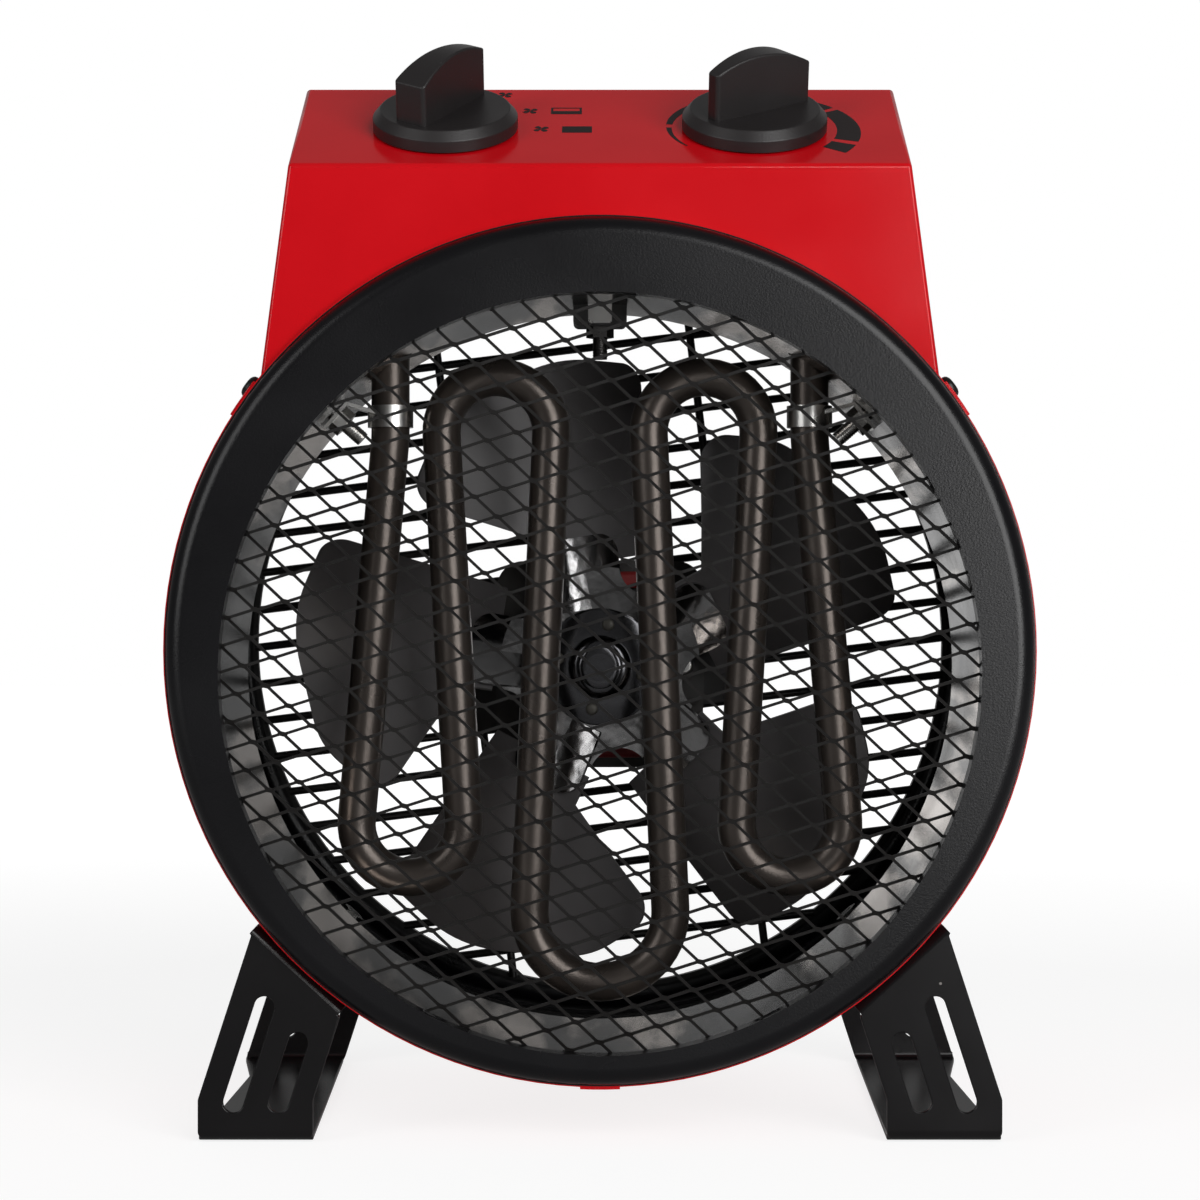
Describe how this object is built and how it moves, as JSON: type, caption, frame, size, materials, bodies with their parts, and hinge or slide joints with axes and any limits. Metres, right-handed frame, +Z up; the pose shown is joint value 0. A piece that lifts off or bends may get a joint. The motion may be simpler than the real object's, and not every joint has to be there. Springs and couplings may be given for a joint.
{
  "type": "drum fan heater",
  "caption": "Compact drum fan heater with a mesh-guarded round front, serpentine element, fan, slotted sheet feet and a top hood with a selector knob and a thermostat knob.",
  "frame": {"origin": "on the floor under the middle of the drum, halfway between the front and rear rings", "axes": "+Z up, the front faces -Y, +X to the right seen from the front"},
  "size_m": [0.23, 0.152, 0.2946],
  "materials": {
    "red_paint": "gloss enamel",
    "black_ring_paint": "satin",
    "black_mesh_paint": "satin",
    "black_gloss_paint": "gloss",
    "galvanised": "bright sheet",
    "element_steel": "dulled by heat",
    "zinc": "bright zinc",
    "black_screw": "black oxide",
    "ceramic_white": "unglazed",
    "black_plastic": "satin",
    "dark_moulding": "moulded",
    "pale_moulding": "moulded",
    "steel": "plain",
    "bronze": "sintered",
    "coil_tape": "red tape",
    "blade_metal": "dull grey"
  },
  "bodies": {
    "casing": {"drum_shell": "red_paint", "control_hood": "red_paint", "hood_back": "red_paint", "front_ring": "black_ring_paint", "rear_ring": "black_ring_paint", "mesh_guard": "black_mesh_paint", "rear_guard": "black_mesh_paint", "left_foot": "black_gloss_paint", "right_foot": "black_gloss_paint", "inner_liner": "galvanised", "liner_spacers": "galvanised", "heating_element": "element_steel", "element_clips": "zinc", "clip_nuts": "zinc", "clip_screws": "zinc", "cutout_screw": "zinc", "foot_nuts": "zinc", "element_pins": "zinc", "switch_screws": "zinc", "motor_bolts": "zinc", "foot_screws": "black_screw", "hood_screws": "black_screw", "cover_screws": "black_screw", "element_bushes": "ceramic_white", "cable_gland": "black_plastic", "gland_nut": "black_plastic", "selector_switch": "dark_moulding", "thermostat_body": "dark_moulding", "thermal_cutout": "dark_moulding", "terminal_block": "pale_moulding", "motor_bridges": "steel", "motor_plate": "steel", "motor_stator": "steel", "motor_bushes": "bronze", "motor_coil": "coil_tape"},
    "fan": {"motor_shaft": "steel", "motor_rotor": "steel", "fan_boss": "zinc", "fan_spider": "zinc", "fan_blades": "blade_metal"},
    "selector": {"selector_knob": "black_plastic", "selector_spindle": "steel"},
    "thermostat": {"thermostat_knob": "black_plastic", "thermostat_spindle": "steel"}
  },
  "joints": [
    {"name": "fan_spin", "type": "hinge", "parent": "casing", "child": "fan", "pos_m": [0, 0.008, 0.124], "axis": [0, 1, 0], "continuous": true},
    {"name": "selector_turn", "type": "hinge", "parent": "casing", "child": "selector", "pos_m": [-0.042, -0.045, 0.27156], "axis": [0, -0.4939, 0.8695], "range_deg": [-60, 30]},
    {"name": "thermostat_turn", "type": "hinge", "parent": "casing", "child": "thermostat", "pos_m": [0.042, -0.045, 0.27156], "axis": [0, -0.4939, 0.8695], "range_deg": [-265, 0]}
  ]
}
